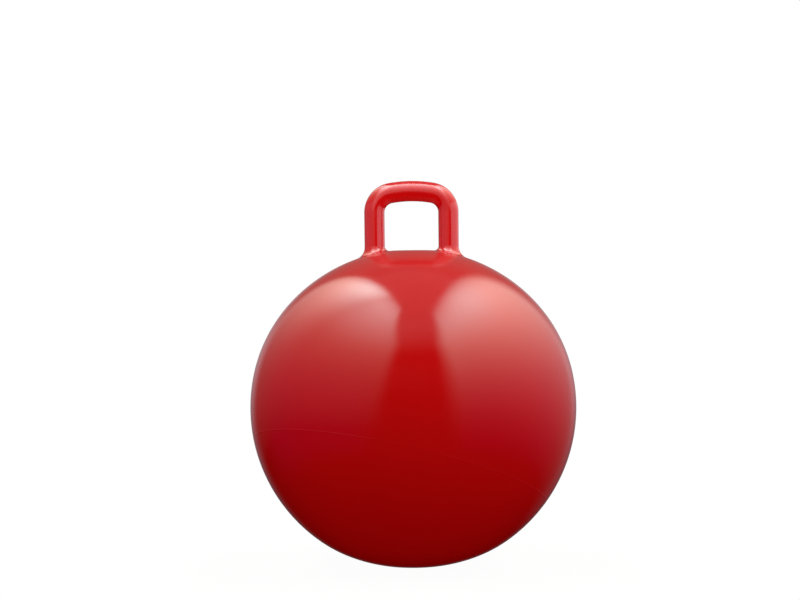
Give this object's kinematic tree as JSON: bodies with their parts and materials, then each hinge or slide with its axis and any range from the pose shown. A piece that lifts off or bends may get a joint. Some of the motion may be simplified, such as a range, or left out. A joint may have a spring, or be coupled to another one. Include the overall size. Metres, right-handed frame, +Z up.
{
  "type": "hopper ball",
  "caption": "Inflated bouncing ball to sit on, with a hollow hand loop standing on its crown and a push-in valve plug at the back.",
  "frame": {"origin": "centre of the flat patch that the ball rests on", "axes": "+Z up through the crown, X across the handle from leg to leg, +Y to the back where the valve is"},
  "size_m": [0.4499, 0.45, 0.531],
  "materials": {
    "skin_pvc": "glossy soft PVC, smooth from the mould",
    "handle_pvc": "glossy soft PVC, one moulding with the skin",
    "seat_pvc": "glossy soft PVC, thicker and a little darker",
    "plug_plastic": "satin off-white polyethylene"
  },
  "bodies": {
    "ball": {"ball_skin": "skin_pvc", "handle_loop": "handle_pvc", "valve_seat": "seat_pvc"},
    "plug": {"valve_plug": "plug_plastic"}
  },
  "joints": [
    {"name": "plug_pull", "type": "slide", "parent": "ball", "child": "plug", "axis": [0, 0.5299, 0.848], "range_m": [0, 0.03]}
  ]
}
